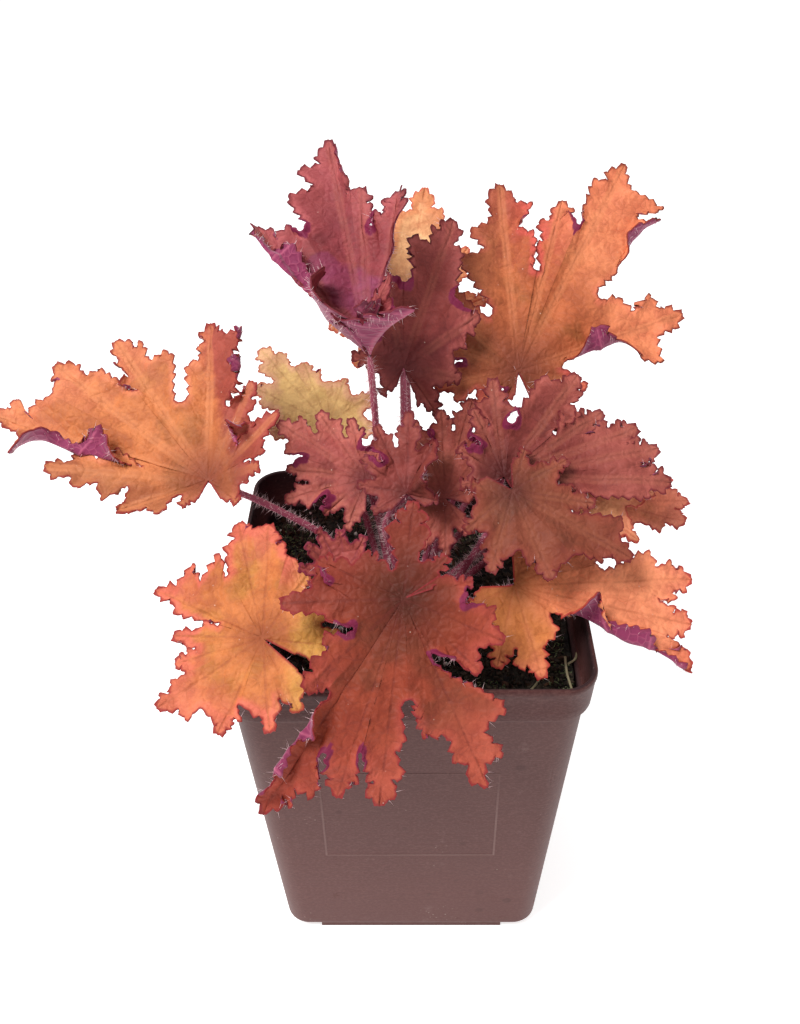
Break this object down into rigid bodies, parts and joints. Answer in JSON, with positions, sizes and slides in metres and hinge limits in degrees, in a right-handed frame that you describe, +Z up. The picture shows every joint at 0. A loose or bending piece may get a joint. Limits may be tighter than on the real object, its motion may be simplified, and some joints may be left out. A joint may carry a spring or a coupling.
{
  "type": "potted heuchera",
  "caption": "Young heuchera with deeply lobed, toothed orange, rust and maroon leaves on slender stalks, growing in a square tapered plastic nursery pot filled with dark potting mix.",
  "frame": {"origin": "middle of the pot's foot, on the surface it stands on", "axes": "+Z up along the pot's middle, +X to the plant's right and -Y to the front as pictured"},
  "size_m": [0.2355, 0.1806, 0.2594],
  "materials": {
    "pot_plastic": "satin taupe-brown",
    "potting_mix": "rough, damp, nearly black",
    "rootstock": "rough brown",
    "leaf_top_right": "soft sheen, orange",
    "leaf_left": "soft sheen, amber orange",
    "leaf_lower_left": "soft sheen, amber to coral",
    "leaf_front": "soft sheen, rust red",
    "leaf_top_left": "soft sheen, dusty red",
    "leaf_top_mid": "soft sheen, dark maroon",
    "leaf_back_pale": "soft sheen, pale orange",
    "leaf_back_left": "soft sheen, olive yellow",
    "leaf_centre_left": "soft sheen, dusty red",
    "leaf_centre_mid": "soft sheen, brown red",
    "leaf_centre": "soft sheen, maroon brown",
    "leaf_upper_right": "soft sheen, dusty maroon",
    "leaf_lower_right": "soft sheen, dusty maroon",
    "leaf_right_front": "soft sheen, amber to coral",
    "leaf_right_orange": "soft sheen, orange",
    "leaf_right_coral": "soft sheen, coral",
    "leaf_back_right": "soft sheen, rust orange",
    "leaf_back_low": "soft sheen, maroon brown",
    "leaf_small": "soft sheen, red"
  },
  "bodies": {
    "root": {"pot": "pot_plastic", "soil": "potting_mix", "crown": "rootstock", "leaf_top_right": "leaf_top_right", "leaf_left": "leaf_left", "leaf_lower_left": "leaf_lower_left", "leaf_front": "leaf_front", "leaf_top_left": "leaf_top_left", "leaf_top_mid": "leaf_top_mid", "leaf_back_pale": "leaf_back_pale", "leaf_back_left": "leaf_back_left", "leaf_centre_left": "leaf_centre_left", "leaf_centre_mid": "leaf_centre_mid", "leaf_centre": "leaf_centre", "leaf_upper_right": "leaf_upper_right", "leaf_lower_right": "leaf_lower_right", "leaf_right_front": "leaf_right_front", "leaf_right_orange": "leaf_right_orange", "leaf_right_coral": "leaf_right_coral", "leaf_back_right": "leaf_back_right", "leaf_back_low": "leaf_back_low", "leaf_small": "leaf_small"}
  },
  "joints": []
}
